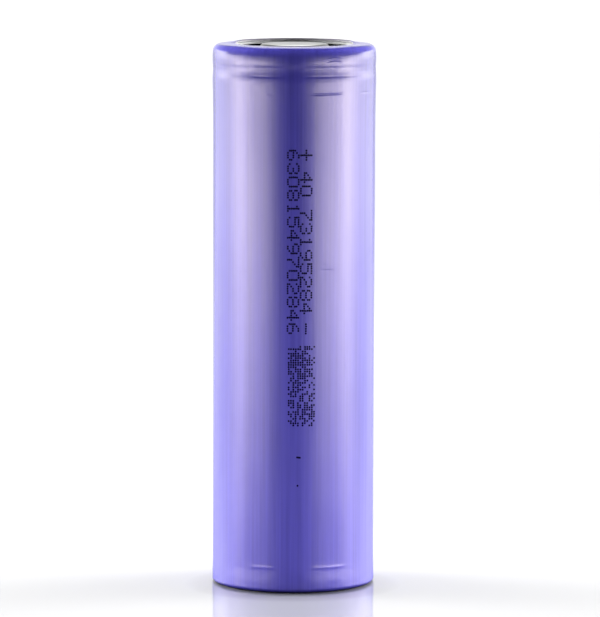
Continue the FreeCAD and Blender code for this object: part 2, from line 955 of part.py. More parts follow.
def electrode_roll():
    """The eight wound layers, from the inner separator out to the outer coating."""
    separator = cell("separator")
    foil = cell("foil")
    coating = cell("coating")
    end = cell("half_turns").value * 180
    separator_end = end - cell("separator_short").value
    positive = cell("positive_start").value, end - 360
    negative = cell("negative_start").value
    flush = size_of(0)
    high = cell("negative_inset")
    low = cell("positive_inset")
    layers = (
        ("inner_separator", separator, 0, separator_end, flush),
        ("positive_coating_inner", coating, *positive, low),
        ("positive_foil", foil, *positive, low),
        ("positive_coating_outer", coating, *positive, low),
        ("outer_separator", separator, 0, separator_end, flush),
        ("negative_coating_inner", coating, negative, end - 180, high),
        ("negative_foil", foil, negative, end, high),
        ("negative_coating_outer", coating, negative, end - 360, high),
    )
    depth = size_of(0)
    for name, thickness, first, last, inset in layers:
        shape = wound_layer(depth, thickness, first, last, inset)
        if name.startswith("positive_coating"):
            shape = shape.cut(bare_patch())
        part_feature(name, shape)
        depth = depth + thickness


def winding_end_tape():
    """The tape that holds the roll's loose outer end down."""
    shift = arc_shift.value
    thickness = cell("tape").value
    angle = cell("end_tape_angle").value
    inset = cell("negative_inset") + cell("end_tape_inset")
    base = (cell("roll_base") + inset).value
    tall = (cell("separator_height") - inset * 2).value
    last = layer_radius(cell("half_turns") - 1, NEGATIVE_FOIL_FACE).value
    before = layer_radius(cell("half_turns") - 2, NEGATIVE_FOIL_FACE).value
    edge_x = shift + last
    tangent = math.degrees(math.acos(before / (edge_x + shift)))
    inner_path = [
        round_arc(last, -angle, 0, shift, base),
        Part.makeLine(
            FreeCAD.Vector(edge_x, 0, base),
            round_point(before, tangent, -shift, base),
        ),
        round_arc(before, tangent, angle, -shift, base),
    ]
    outer_path = [
        round_arc(last + thickness, -angle, 0, shift, base),
        round_arc(thickness, 0, tangent, edge_x, base),
        Part.makeLine(
            round_point(thickness, tangent, edge_x, base),
            round_point(before + thickness, tangent, -shift, base),
        ),
        round_arc(before + thickness, tangent, angle, -shift, base),
    ]
    part_feature("winding_end_tape", upright_sheet(inner_path, outer_path, tall))


# ---------------------------------------------------------------------- assembly

shrink_sleeve()
insulating_washer()
can()
gasket()
positive_cap()
vent_disc()
interrupt_ring()
interrupt_plate()
upper_disc()
lower_disc()
electrode_roll()
winding_end_tape()
positive_lead()
positive_lead_tape()
negative_lead()
negative_lead_tape()
doc.recompute()

for thing in doc.Objects:
    if "Invalid" in thing.State or "Error" in thing.State:
        raise RuntimeError(f"{thing.Label}: {thing.State}")
for piece in SUB_PARTS:
    if piece.Shape.isNull() or not piece.Shape.isValid():
        raise RuntimeError(f"{piece.Label}: the shape is not valid")
    if len(piece.Shape.Solids) != 1:
        raise RuntimeError(f"{piece.Label}: not one solid")

os.makedirs("parts", exist_ok=True)
for piece in SUB_PARTS:
    piece.Shape.exportStep(f"parts/{piece.Label}.step")
    print(f"{piece.Label}: {piece.Shape.Volume:.3f} mm3")
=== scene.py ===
import math
import random

import bpy
from mathutils import Matrix, Vector, noise


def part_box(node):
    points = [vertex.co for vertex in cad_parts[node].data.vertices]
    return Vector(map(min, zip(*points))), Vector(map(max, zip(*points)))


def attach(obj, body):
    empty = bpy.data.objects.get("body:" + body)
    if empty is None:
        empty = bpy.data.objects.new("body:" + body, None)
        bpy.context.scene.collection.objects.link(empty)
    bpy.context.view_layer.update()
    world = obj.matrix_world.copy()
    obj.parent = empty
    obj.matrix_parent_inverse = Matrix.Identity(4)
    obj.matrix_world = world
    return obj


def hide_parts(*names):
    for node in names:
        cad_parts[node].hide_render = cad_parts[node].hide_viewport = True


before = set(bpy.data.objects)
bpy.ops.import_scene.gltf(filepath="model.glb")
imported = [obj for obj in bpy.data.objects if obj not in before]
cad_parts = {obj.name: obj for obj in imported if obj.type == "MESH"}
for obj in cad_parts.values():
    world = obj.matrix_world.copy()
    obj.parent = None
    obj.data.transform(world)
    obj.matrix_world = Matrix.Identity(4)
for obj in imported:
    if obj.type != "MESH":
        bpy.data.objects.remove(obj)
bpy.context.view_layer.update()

MM = 0.001

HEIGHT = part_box("heat_shrink_sleeve")[1][2]

scene = bpy.context.scene
scene.view_settings.view_transform = "Standard"
scene.view_settings.look = "None"


# ------------------------------------------------------------------ small helpers


def smooth_step(low, high, value):
    """0 below low, 1 above high, and an even S-curve between."""
    t = min(max((value - low) / (high - low), 0.0), 1.0)
    return t * t * (3.0 - 2.0 * t)


def bump(value, centre, width):
    """A bell of height 1 at centre."""
    return math.exp(-(((value - centre) / width) ** 2))


def angle_gap(a, b):
    """The difference between two angles in degrees, from -180 to 180."""
    return (a - b + 180.0) % 360.0 - 180.0


def arc_window(azimuth, centre, half_width, fade):
    """1 within half_width degrees of centre, fading to 0 over fade degrees."""
    gap = abs(angle_gap(azimuth, centre))
    return 1.0 - smooth_step(half_width, half_width + fade, gap)


def add_mesh(name, vertices, faces, smooth=True):
    mesh = bpy.data.meshes.new(name)
    mesh.from_pydata(vertices, [], faces)
    mesh.validate()
    mesh.update()
    if smooth:
        mesh.polygons.foreach_set("use_smooth", [True] * len(mesh.polygons))
    obj = bpy.data.objects.new(name, mesh)
    scene.collection.objects.link(obj)
    return obj


# ---------------------------------------------------------------------- materials


def scaled_colour(colour, factor):
    return tuple(min(channel * factor, 1.0) for channel in colour)


class Nodes:
    """A short way to build one material's node tree."""

    def __init__(self, name):
        self.material = bpy.data.materials.new(name)
        self.material.use_nodes = True
        self.tree = self.material.node_tree
        self.tree.nodes.clear()
        self.shader = self.add("ShaderNodeBsdfPrincipled")
        output = self.add("ShaderNodeOutputMaterial")
        self.link(self.shader.outputs["BSDF"], output.inputs["Surface"])
        self.where = self.add("ShaderNodeTexCoord").outputs["Object"]

    def add(self, kind, **settings):
        node = self.tree.nodes.new(kind)
        for key, value in settings.items():
            setattr(node, key, value)
        return node

    def link(self, source, target):
        self.tree.links.new(source, target)

    def set(self, **values):
        """Sets the shader's own sockets: Base_Color=(r, g, b), Roughness=0.3."""
        for key, value in values.items():
            socket = self.shader.inputs[key.replace("_", " ")]
            if isinstance(value, tuple) and len(value) == 3:
                value = (*value, 1.0)
            socket.default_value = value

    def stretched(self, scale):
        """Object coordinates scaled by (x, y, z)."""
        mapping = self.add("ShaderNodeMapping")
        mapping.inputs["Scale"].default_value = scale
        self.link(self.where, mapping.inputs["Vector"])
        return mapping.outputs["Vector"]

    def noise(self, scale, detail=3.0, stretch=(1.0, 1.0, 1.0), roughness=0.5):
        texture = self.add("ShaderNodeTexNoise")
        texture.inputs["Scale"].default_value = scale
        texture.inputs["Detail"].default_value = detail
        texture.inputs["Roughness"].default_value = roughness
        self.link(self.stretched(stretch), texture.inputs["Vector"])
        return texture.outputs["Fac"]

    def voronoi(self, scale, stretch=(1.0, 1.0, 1.0)):
        texture = self.add("ShaderNodeTexVoronoi")
        texture.inputs["Scale"].default_value = scale
        self.link(self.stretched(stretch), texture.inputs["Vector"])
        return texture.outputs["Distance"]

    def ranged(self, value, low, high, from_low=0.0, from_high=1.0):
        """Maps from_low..from_high onto low..high, clamped at both ends."""
        node = self.add("ShaderNodeMapRange")
        node.inputs["From Min"].default_value = from_low
        node.inputs["From Max"].default_value = from_high
        node.inputs["To Min"].default_value = low
        node.inputs["To Max"].default_value = high
        self.link(value, node.inputs["Value"])
        return node.outputs["Result"]

    def math(self, operation, first, second):
        node = self.add("ShaderNodeMath", operation=operation)
        for socket, value in zip(node.inputs, (first, second)):
            if isinstance(value, (int, float)):
                socket.default_value = value
            else:
                self.link(value, socket)
        return node.outputs["Value"]

    def ramp(self, value, stops):
        node = self.add("ShaderNodeValToRGB")
        elements = node.color_ramp.elements
        while len(elements) < len(stops):
            elements.new(0.5)
        for element, (position, colour) in zip(elements, stops):
            element.position = position
            element.color = (*colour, 1.0)
        self.link(value, node.inputs["Fac"])
        return node.outputs["Color"]

    def shaded(self, value, colour, dark, light, low=0.30, high=0.70):
        """The colour times dark where value is low, up to times light where it is high."""
        return self.ramp(
            value,
            ((low, scaled_colour(colour, dark)), (high, scaled_colour(colour, light))),
        )

    def greys(self, value, stops):
        """A ramp of greys, each stop (position, grey)."""
        return self.ramp(value, [(place, (grey, grey, grey)) for place, grey in stops])

    def blend(self, first, share, second, other_share):
        """The sum of two values, each times its share."""
        return self.math(
            "ADD",
            self.math("MULTIPLY", first, share),
            self.math("MULTIPLY", second, other_share),
        )

    def mix(self, factor, first, second):
        """A colour blend; first is a plain colour or a socket, and second a socket."""
        node = self.add("ShaderNodeMix", data_type="RGBA")
        self.link(factor, node.inputs[0])
        if isinstance(first, tuple):
            node.inputs[6].default_value = (*first, 1.0)
        else:
            self.link(first, node.inputs[6])
        self.link(second, node.inputs[7])
        return node.outputs[2]

    def height(self):
        """Height above the base, in metres."""
        split = self.add("ShaderNodeSeparateXYZ")
        self.link(self.where, split.inputs["Vector"])
        return split.outputs["Z"]

    def radius(self, shift=(0.0, 0.0, 0.0)):
        """Distance from the axis, in metres, or from the axis moved back by shift."""
        flat = self.add("ShaderNodeMapping")
        flat.inputs["Location"].default_value = shift
        flat.inputs["Scale"].default_value = (1.0, 1.0, 0.0)
        self.link(self.where, flat.inputs["Vector"])
        length = self.add("ShaderNodeVectorMath", operation="LENGTH")
        self.link(flat.outputs["Vector"], length.inputs[0])
        return length.outputs["Value"]

    def colour(self, socket):
        self.link(socket, self.shader.inputs["Base Color"])

    def roughness(self, socket):
        self.link(socket, self.shader.inputs["Roughness"])

    def bumps(self, *layers):
        """Chains bumps, each (height socket, strength, distance in metres)."""
        normal = None
        for height, strength, distance in layers:
            node = self.add("ShaderNodeBump")
            node.inputs["Strength"].default_value = strength
            node.inputs["Distance"].default_value = distance
            self.link(height, node.inputs["Height"])
            if normal is not None:
                self.link(normal, node.inputs["Normal"])
            normal = node.outputs["Normal"]
        self.link(normal, self.shader.inputs["Normal"])


FILM_TINT = (0.078, 0.067, 0.466)
# painted shade and painted light for the film's cut edge round the top opening
CUT_EDGE_PAINTED_SHADE = (0.20, 0.18, 0.26)
CUT_EDGE_PAINTED_LIGHT = (0.72, 0.71, 0.74)
# painted light and shade on the raised back edge: painted shade only along its top, painted
# light below it
CUT_EDGE_LIGHT_TO = 70.70 * MM
CUT_EDGE_SHADE_FROM = 70.78 * MM
# the cut edge's painted light and shade end at this radius, and the film's colours begin at
# this one
CUT_EDGE_TO = 7.65 * MM
FILM_FROM = 7.75 * MM
# painted shade: near black film colour where the film turns under at the foot, standing in for
# the contact shadow
FOOT_SHADE_TINT = (0.001, 0.001, 0.006)
# painted light and shade by height: the film's colour is brighter low down, darkest below the
# crimp and brighter again over the shoulder
FILM_PAINTED_LIGHT = (
    (0.0, 1.03),
    (0.35, 0.82),
    (0.90, 0.51),
    (0.981, 0.45),
    (0.987, 0.52),
    (0.993, 0.90),
    (0.9975, 1.08),
    (1.0, 0.80),
)
# height over which the foot's painted shade fades out, and over which the film's specular
# level rises
FOOT_SHADE_HEIGHT = 0.55 * MM
FILM_GLOSS = (0.18, 0.24)


def sleeve_material():
    """Tinted shrink film: deep violet body, soft sheen, faint vertical draw lines."""
    n = Nodes("film_purple")
    draw_lines = n.noise(900.0, 3.0, (1.0, 1.0, 0.02))
    streaks = n.noise(3000.0, 2.0, (1.0, 1.0, 0.012))
    cloud = n.noise(120.0, 2.0, (1.0, 1.0, 0.5))
    lines = n.blend(draw_lines, 0.35, streaks, 0.45)
    mixed = n.math("ADD", lines, n.math("MULTIPLY", cloud, 0.20))
    body = n.shaded(mixed, FILM_TINT, 0.86, 1.14, 0.38, 0.62)
    # painted light and shade by height on the film's colour, and painted shade where it turns
    # under at the foot
    height = n.height()
    painted_light = n.greys(n.ranged(height, 0.0, 1.0, 0.0, HEIGHT), FILM_PAINTED_LIGHT)
    painted_film = n.add("ShaderNodeVectorMath", operation="MULTIPLY")
    n.link(body, painted_film.inputs[0])
    n.link(painted_light, painted_film.inputs[1])
    # painted shade over the lowest part of the film, fading out upwards
    foot = n.ranged(height, 0.0, 1.0, 0.0, FOOT_SHADE_HEIGHT)
    film = n.mix(foot, FOOT_SHADE_TINT, painted_film.outputs["Vector"])
    # painted shade and painted light on the cut edge round the top opening, in place of the
    # film's colour
    raised = n.ranged(height, 0.0, 1.0, CUT_EDGE_LIGHT_TO, CUT_EDGE_SHADE_FROM)
    cut_edge_painted = n.ramp(raised, ((0.0, CUT_EDGE_PAINTED_LIGHT), (1.0, CUT_EDGE_PAINTED_SHADE)))
    outside = n.ranged(n.radius(), 0.0, 1.0, CUT_EDGE_TO, FILM_FROM)
    n.colour(n.mix(outside, cut_edge_painted, film))
    n.set(IOR=1.53, Specular_Tint=(1.0, 0.88, 0.93))
    n.link(n.ranged(height, 0.02, 0.5, 0.0, FOOT_SHADE_HEIGHT), n.shader.inputs["Specular IOR Level"])
    n.roughness(n.ranged(mixed, *FILM_GLOSS, 0.3, 0.7))
    n.bumps(
        (n.noise(2600.0, 2.0), 0.10, 0.00002),
        (draw_lines, 0.25, 0.00002),
        (streaks, 0.80, 0.00001),
        (cloud, 0.15, 0.00006),
    )
    return n.material


INK_TINTS = ((0.35, (0.0004, 0.0004, 0.004)), (0.65, (0.001, 0.001, 0.010)))


def ink_material():
    """Dried jet ink: near black, a little blue, matt."""
    n = Nodes("ink_black")
    speckle = n.noise(9000.0, 2.0)
    n.colour(n.ramp(speckle, INK_TINTS))
    n.set(IOR=1.2, Specular_IOR_Level=0.1)
    n.roughness(n.ranged(speckle, 0.6, 0.8))
    n.bumps((speckle, 0.2, 0.00001))
    return n.material


def fibre_material(name, colour):
    """Pressed fibre board: short matted fibres and faint mottling."""
    n = Nodes(name)
    fibres = n.noise(3200.0, 6.0, (1.0, 0.35, 1.0), 0.7)
    mottle = n.noise(420.0, 3.0)
    mixed = n.blend(fibres, 0.6, mottle, 0.4)
    n.colour(n.shaded(mixed, colour, 0.86, 1.05, high=0.66))
    n.roughness(n.ranged(mixed, 0.77, 0.93))
    n.bumps((fibres, 0.35, 0.00003))
    return n.material


STEEL = (0.62, 0.61, 0.59)
ROLLED_GRAIN = (2400.0, 4.0, (0.12, 1.0, 1.0), 0.6)
DRAWN_GRAIN = (1500.0, 3.0, (1.0, 1.0, 0.05), 0.6)


def steel_material(name, colour, roughness, grain=0.06, edge=1.0):
    """Plain metal: fine rolled grain, faint drawing marks and handling scuffs. grain is
    how far its roughness varies, and edge how strongly it shines at a glancing angle."""
    n = Nodes(name)
    rolled = n.noise(*ROLLED_GRAIN)
    drawn = n.noise(*DRAWN_GRAIN)
    cloud = n.noise(260.0, 3.0)
    scuffs = n.math("LESS_THAN", n.voronoi(700.0, (1.0, 0.3, 1.0)), 0.045)
    mixed = n.blend(rolled, 0.5, cloud, 0.5)
    n.colour(n.shaded(mixed, colour, 0.90, 1.06))
    n.set(Metallic=1.0, Specular_Tint=(edge, edge, edge))
    n.roughness(
        n.math(
            "ADD",
            n.ranged(mixed, roughness - grain, roughness + grain, 0.3, 0.7),
            n.math("MULTIPLY", scuffs, 0.12),
        )
    )
    n.bumps((rolled, 0.18, 0.000012), (drawn, 0.12, 0.000012))
    return n.material


# painted shade on the lip's inner edge lies inside the radius and above the height, with a
# short fade
LIP_SHADE_RADIUS_TO = 7.90 * MM
LIP_PLAIN_RADIUS_FROM = 8.00 * MM
LIP_PLAIN_HEIGHT_TO = 60.0 * MM
LIP_SHADE_HEIGHT_FROM = 61.0 * MM
LIP_PAINTED_SHADE = (0.012, 0.012, 0.013)


def can_material():
    """Nickel-plated can, with painted shade on the inner edge of its crimped lip."""
    n = Nodes("can_steel")
    rolled = n.noise(*ROLLED_GRAIN)
    drawn = n.noise(*DRAWN_GRAIN)
    plated = n.shaded(rolled, STEEL, 0.90, 1.06)
    beyond_lip = n.ranged(n.radius(), 0.0, 1.0, LIP_SHADE_RADIUS_TO, LIP_PLAIN_RADIUS_FROM)
    below_lip = n.ranged(n.height(), 1.0, 0.0, LIP_PLAIN_HEIGHT_TO, LIP_SHADE_HEIGHT_FROM)
    # painted shade: near black inside the lip, where the crimp shadows it
    n.colour(n.mix(n.math("MAXIMUM", beyond_lip, below_lip), LIP_PAINTED_SHADE, plated))
    n.set(Metallic=1.0)
    n.roughness(n.ranged(rolled, 0.20, 0.32, 0.3, 0.7))
    n.bumps((rolled, 0.18, 0.000012), (drawn, 0.12, 0.000012))
    return n.material


# the vent disc carries painted shade inside the hem, where the cap shadows it
HEM_SHADE_TO = 7.8 * MM
HEM_BRIGHT_FROM = 8.4 * MM
VENT_PAINTED_SHADE = (0.010, 0.010, 0.011)
VENT_BRIGHT = ((0.30, (0.64, 0.64, 0.65)), (0.70, (0.76, 0.76, 0.77)))


def vent_material():
    """Aluminium vent disc: bright hem, with painted shade where the cap covers it."""
    n = Nodes("vent_metal")
    grain = n.noise(*ROLLED_GRAIN)
    bright = n.ramp(grain, VENT_BRIGHT)
    hem = n.ranged(n.radius(), 0.0, 1.0, HEM_SHADE_TO, HEM_BRIGHT_FROM)
    n.colour(n.mix(hem, VENT_PAINTED_SHADE, bright))
    n.set(Metallic=1.0)
    n.roughness(n.ranged(grain, 0.25, 0.36, 0.3, 0.7))
    n.bumps((grain, 0.18, 0.000012))
    return n.material


def moulded_material(name, colour, roughness):
    """Moulded plastic: slightly uneven gloss, faint flow marks."""
    n = Nodes(name)
    flow = n.noise(300.0, 3.0, (1.0, 1.0, 0.4))
    grain = n.noise(5200.0, 2.0)
    n.colour(n.shaded(flow, colour, 0.92, 1.05))
    n.set(IOR=1.49)
    n.roughness(n.ranged(flow, roughness - 0.07, roughness + 0.07, 0.3, 0.7))
    n.bumps((grain, 0.10, 0.00001))
    return n.material


def coating_material(name, colour):
    """Calendered electrode coating: fine particles, faint roller streaks."""
    n = Nodes(name)
    particles = n.voronoi(14000.0)
    streaks = n.noise(1800.0, 3.0, (1.0, 1.0, 0.04))
    n.colour(n.shaded(particles, colour, 0.8, 1.3, low=0.10))
    n.roughness(n.ranged(streaks, 0.65, 0.85, 0.3, 0.7))
    n.bumps((particles, 0.25, 0.00001))
    return n.material


def woven_material(name, colour):
    """Woven glass in resin: two crossing sets of threads."""
    n = Nodes(name)
    waves = []
    for direction in ("X", "Y"):
        wave = n.add("ShaderNodeTexWave", bands_direction=direction)
        wave.inputs["Scale"].default_value = 900.0
        wave.inputs["Distortion"].default_value = 0.6
        n.link(n.where, wave.inputs["Vector"])
        waves.append(wave.outputs["Fac"])
    weave = n.math("MAXIMUM", *waves)
    n.colour(n.shaded(weave, colour, 0.7, 1.3, 0.2, 0.9))
    n.roughness(n.ranged(weave, 0.62, 0.42))
    n.bumps((weave, 0.4, 0.00003))
    return n.material


def tape_material(name, colour):
    """Polymer tape: smooth, with faint lengthwise ripples."""
    n = Nodes(name)
    ripples = n.noise(700.0, 3.0, (1.0, 1.0, 0.15))
    n.colour(n.shaded(ripples, colour, 0.9, 1.1))
    n.set(IOR=1.5)
    n.roughness(n.ranged(ripples, 0.22, 0.38, 0.3, 0.7))
    n.bumps((ripples, 0.2, 0.00004))
    return n.material


WASHER_WHITE = (0.86, 0.87, 0.86)
CAP_STEEL = (0.62, 0.63, 0.61)
GASKET_BLACK = (0.016, 0.016, 0.018)
RING_WHITE = (0.70, 0.72, 0.69)
PLATE_ALUMINIUM = (0.70, 0.70, 0.71)
WOVEN_BLACK = (0.035, 0.038, 0.042)
SEPARATOR_WHITE = (0.80, 0.82, 0.80)
OXIDE_BLACK = (0.010, 0.010, 0.012)
GRAPHITE = (0.018, 0.018, 0.020)
FOIL_ALUMINIUM = (0.78, 0.78, 0.80)
FOIL_COPPER = (0.80, 0.40, 0.24)
LEAD_ALUMINIUM = (0.76, 0.76, 0.78)
LEAD_NICKEL = (0.58, 0.56, 0.52)
TAPE_GREEN = (0.03, 0.16, 0.10)
TAPE_AMBER = (0.46, 0.19, 0.02)

MATERIALS = {
    "top_insulating_washer": fibre_material("washer_fibre", WASHER_WHITE),
    "steel_can": can_material(),
    "positive_cap": steel_material("cap_steel", CAP_STEEL, 0.30, 0.05, 0.62),
    "sealing_gasket": moulded_material("gasket_plastic", GASKET_BLACK, 0.42),
    "safety_vent_disc": vent_material(),
    "interrupt_insulator_ring": moulded_material("ring_plastic", RING_WHITE, 0.4),
    "interrupt_plate": steel_material("plate_metal", PLATE_ALUMINIUM, 0.34),
    "upper_insulator_disc": woven_material("disc_weave_upper", WOVEN_BLACK),
    "lower_insulator_disc": woven_material("disc_weave_lower", WOVEN_BLACK),
    "inner_separator": moulded_material("separator_film_inner", SEPARATOR_WHITE, 0.5),
    "outer_separator": moulded_material("separator_film_outer", SEPARATOR_WHITE, 0.5),
    "positive_coating_inner": coating_material("oxide_inner", OXIDE_BLACK),
    "positive_coating_outer": coating_material("oxide_outer", OXIDE_BLACK),
    "negative_coating_inner": coating_material("graphite_inner", GRAPHITE),
    "negative_coating_outer": coating_material("graphite_outer", GRAPHITE),
    "positive_foil": steel_material("foil_aluminium", FOIL_ALUMINIUM, 0.28),
    "negative_foil": steel_material("foil_copper", FOIL_COPPER, 0.30),
    "positive_lead": steel_material("lead_aluminium", LEAD_ALUMINIUM, 0.30),
    "negative_lead": steel_material("lead_nickel", LEAD_NICKEL, 0.26),
    "winding_end_tape": tape_material("tape_green", TAPE_GREEN),
    "positive_lead_tape": tape_material("tape_amber_upper", TAPE_AMBER),
    "negative_lead_tape": tape_material("tape_amber_lower", TAPE_AMBER),
}
for node_name, material in MATERIALS.items():
    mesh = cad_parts[node_name].data
    mesh.materials.clear()
    mesh.materials.append(material)


# --------------------------------------------------------------------- film sleeve

# the film's sizes, in millimetres and degrees
TOP = HEIGHT / MM
FILM = 0.10
SHOULDER = 0.95
SHOULDER_TURN = 80.0
SHOULDER_CENTRE = 9.65
SHOULDER_SINK = 0.012
BASE_ROUND = 0.45
# the two cut edges: radius, how uneven, and how far that unevenness reaches into the film
TOP_OPENING = 7.60
TOP_WAVE = 0.05
TOP_REACH = 1.9
BASE_OPENING = 8.70
BASE_WAVE = 0.07
BASE_REACH = 0.9
# the top edge is rolled up at the back, its inner face less
BACK_CURL = 0.29
CURL_FADE = 0.45
INNER_CURL = 0.2
# outside of the wall: (radius, height), height measured from the base
WALL = (
    (10.5856, TOP - 0.785),
    (10.6250, TOP - 1.08),
    (10.6480, TOP - 1.42),
    (10.6560, TOP - 1.85),
    (10.6400, TOP - 2.30),
    (10.6080, TOP - 2.75),
    (10.5970, TOP - 3.15),
    (10.6100, TOP - 3.60),
    (10.6380, TOP - 4.10),
    (10.6450, TOP - 4.60),
    (10.620, TOP - 5.90),
    (10.595, TOP - 7.20),
    (10.570, TOP - 9.00),
    (10.555, TOP - 12.00),
    (10.550, TOP - 20.00),
    (10.550, 20.0),
    (10.550, 6.0),
    (10.560, 3.2),
    (10.600, 1.4),
    (10.610, 0.45),
)
# creases round the film: height, half-width and depth in millimetres (a ridge's depth is
# negative), then the stretches where each shows as (azimuth from the front, half-width,
# strength)
CREASES = (
    (67.93, 0.24, 0.014, ((-19, 9, 0.9), (-66, 10, 0.15), (23, 10, 0.9), (42, 10, 0.3))),
    (66.84, 0.13, 0.009, ((-20, 10, 1.0), (19, 10, 1.2), (38, 12, 0.6))),
    (64.62, 0.11, 0.022, ((24, 11, 1.1), (62, 8, 0.7), (-17, 2, 0.5))),
    (41.95, 0.09, 0.012, ((24.5, 4, 1.0),)),
    (41.50, 0.08, 0.010, ((-34.5, 2, 1.0),)),
    (3.25, 0.20, -0.014, ((-22, 8, 1.0), (26, 12, 1.0))),
)
# strength between the stretches, and each stretch's full-strength part and its fade
CREASE_TRACE = 0.02
CREASE_CORE = 0.7
CREASE_FADE = 0.6
CREASE_WANDER = 0.05
BACK_STRETCHES = 9
# the curved wrinkle in the shoulder: azimuth, half-width, height, sag, half-thickness, depth
WRINKLE_AZIMUTH = 29.0
WRINKLE_HALF = 5.5
WRINKLE_HEIGHT = 68.95
WRINKLE_SAG = 0.20
WRINKLE_WIDTH = 0.10
WRINKLE_DEPTH = 0.024
# how the film's mesh is divided
AROUND = 420
TOP_ROWS = 10
SHOULDER_ROWS = 16
FOOT_ROWS = 10
BASE_ROWS = 7
CRIMP_ZONE = 9.0
CREASE_ZONE = 1.0
BASE_ZONE = 3.4
FINE_STEP = 0.07
BASE_STEP = 0.18
WALL_STEP = 0.85
INNER_EVERY = 6

# how far the film's unevenness swings, and what the crimp and the base add to it
SLOW_RIPPLE = (0.006, 0.014)
FINE_RIPPLE = (0.0008, 0.007)

rng = random.Random(20260)


def crease_stretches(front):
    """The stretches seen from the front, and unseen ones round the back."""
    stretches = list(front)
    for _ in range(BACK_STRETCHES):
        centre = rng.uniform(85.0, 275.0)
        stretches.append((centre, rng.uniform(3.0, 14.0), rng.uniform(0.3, 1.0)))
    return stretches


CREASE_SETS = [
    (height, width, depth, crease_stretches(front))
    for height, width, depth, front in CREASES
]


def wall_radius(z):
    """Radius of the sleeve's wall at height z, smooth between the listed points."""
    for k in range(len(WALL) - 1):
        high, low = WALL[k], WALL[k + 1]
        if z >= low[1]:
            before = WALL[max(k - 1, 0)]
            after = WALL[min(k + 2, len(WALL) - 1)]
            span = low[1] - high[1]
            t = (z - high[1]) / span
            slope_high = (low[0] - before[0]) / (low[1] - before[1]) * span
            slope_low = (after[0] - high[0]) / (after[1] - high[1]) * span
            return (
                (2 * t**3 - 3 * t**2 + 1) * high[0]
                + (t**3 - 2 * t**2 + t) * slope_high
                + (-2 * t**3 + 3 * t**2) * low[0]
                + (t**3 - t**2) * slope_low
            )
    return WALL[-1][0]


def crease_depth(z, azimuth):
    """How far the creases pull the film in at a place; ridges push it out."""
    total = 0.0
    for height, width, depth, stretches in CREASE_SETS:
        if abs(z - height) > 5 * width:
            continue
        strength = CREASE_TRACE
        for centre, half, peak in stretches:
            window = arc_window(azimuth, centre, half * CREASE_CORE, half * CREASE_FADE)
            strength = max(strength, peak * window)
        wander = CREASE_WANDER * noise.noise(Vector((azimuth * 0.06, height, 0.0)))
        total += depth * strength * bump(z, height + wander, width)
    return total


def ripple(z, azimuth):
    """The slow unevenness of shrunk film, stronger near the crimp and the base."""
    turn = math.radians(azimuth)
    place = Vector((math.cos(turn) * 2.2, math.sin(turn) * 2.2, z * 0.22))
    ends = bump(z, TOP - 3.0, 3.5) + 0.6 * bump(z, 1.5, 2.0)
    fine = Vector((math.cos(turn) * 9.0, math.sin(turn) * 9.0, z * 0.9))
    slow = noise.noise(place) * (SLOW_RIPPLE[0] + SLOW_RIPPLE[1] * ends)
    return slow + noise.noise(fine) * (FINE_RIPPLE[0] + FINE_RIPPLE[1] * ends)


def wrinkle(z, azimuth):
    """One short curved wrinkle in the shoulder, right of the front, with a lip above."""
    across = angle_gap(azimuth, WRINKLE_AZIMUTH) / WRINKLE_HALF
    if abs(across) > 1.3:
        return 0.0
    line = WRINKLE_HEIGHT - WRINKLE_SAG * across * across
    fade = 1.0 - smooth_step(0.75, 1.25, abs(across))
    fold = bump(z, line, WRINKLE_WIDTH)
    lip = bump(z, line + 2.0 * WRINKLE_WIDTH, 1.2 * WRINKLE_WIDTH)
    return WRINKLE_DEPTH * fade * (fold - 0.5 * lip)


def row_step(z):
    """Fine rows near the crimp and every crease, coarser ones between them."""
    nearest = min(abs(z - crease[0]) for crease in CREASE_SETS)
    if z > TOP - CRIMP_ZONE or nearest < CREASE_ZONE:
        return FINE_STEP
    return WALL_STEP if z > BASE_ZONE else BASE_STEP


def film_outline():
    """The outside from the top opening to the base opening: (kind, value) stations."""
    rows = []
    for k in range(TOP_ROWS + 1):
        t = k / TOP_ROWS
        rows.append(("top", TOP_OPENING + (SHOULDER_CENTRE - TOP_OPENING) * t))
    for k in range(1, SHOULDER_ROWS):
        rows.append(("shoulder", k / SHOULDER_ROWS * SHOULDER_TURN))
    z = WALL[0][1]
    while z > BASE_ROUND:
        rows.append(("wall", z))
        z -= row_step(z)
    for k in range(FOOT_ROWS + 1):
        rows.append(("foot", k / FOOT_ROWS * 90.0))
    foot_edge = WALL[-1][0] - BASE_ROUND
    for k in range(1, BASE_ROWS + 1):
        t = k / BASE_ROWS
        rows.append(("base", foot_edge + (BASE_OPENING - foot_edge) * t))
    return rows


